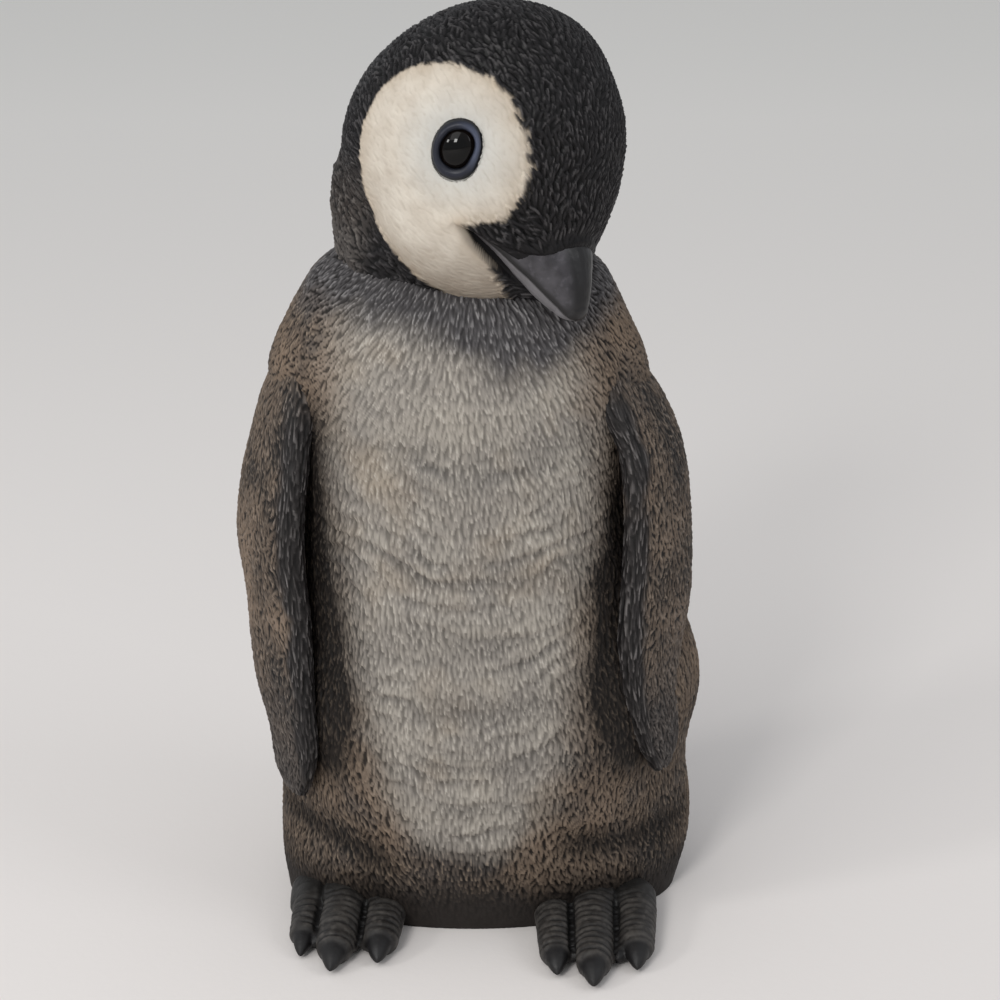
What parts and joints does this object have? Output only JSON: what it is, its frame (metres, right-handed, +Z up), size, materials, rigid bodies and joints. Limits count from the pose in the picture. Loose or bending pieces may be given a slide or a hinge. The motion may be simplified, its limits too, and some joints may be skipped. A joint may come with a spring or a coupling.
{
  "type": "penguin chick figurine",
  "caption": "Free-standing cast-resin penguin chick that looks down to one side, with carved down, glass eyes and ringed feet.",
  "frame": {"origin": "on the ground plane under the body, at the middle of the flat underside", "axes": "+Z up from the ground to the crown, -Y out of the belly towards the viewer, +X to the viewer's right"},
  "size_m": [0.0807, 0.0836, 0.1573],
  "materials": {
    "body_resin": "matt painted cast resin, grey-brown down with a light belly",
    "head_resin": "matt painted cast resin, black cap and cream face",
    "bill_resin": "satin painted cast resin, dark grey",
    "flipper_resin": "matt painted cast resin, dark grey-brown",
    "foot_resin": "matt painted cast resin, charcoal",
    "rim_resin": "satin paint, blue-grey",
    "eye_glass": "polished, dark brown to black",
    "felt": "black felt"
  },
  "bodies": {
    "root": {"torso": "body_resin", "head": "head_resin", "upper_bill": "bill_resin", "lower_bill": "bill_resin", "left_eye": "eye_glass", "right_eye": "eye_glass", "left_eye_rim": "rim_resin", "right_eye_rim": "rim_resin", "left_flipper": "flipper_resin", "right_flipper": "flipper_resin", "left_foot": "foot_resin", "right_foot": "foot_resin", "felt_pad": "felt"}
  },
  "joints": []
}
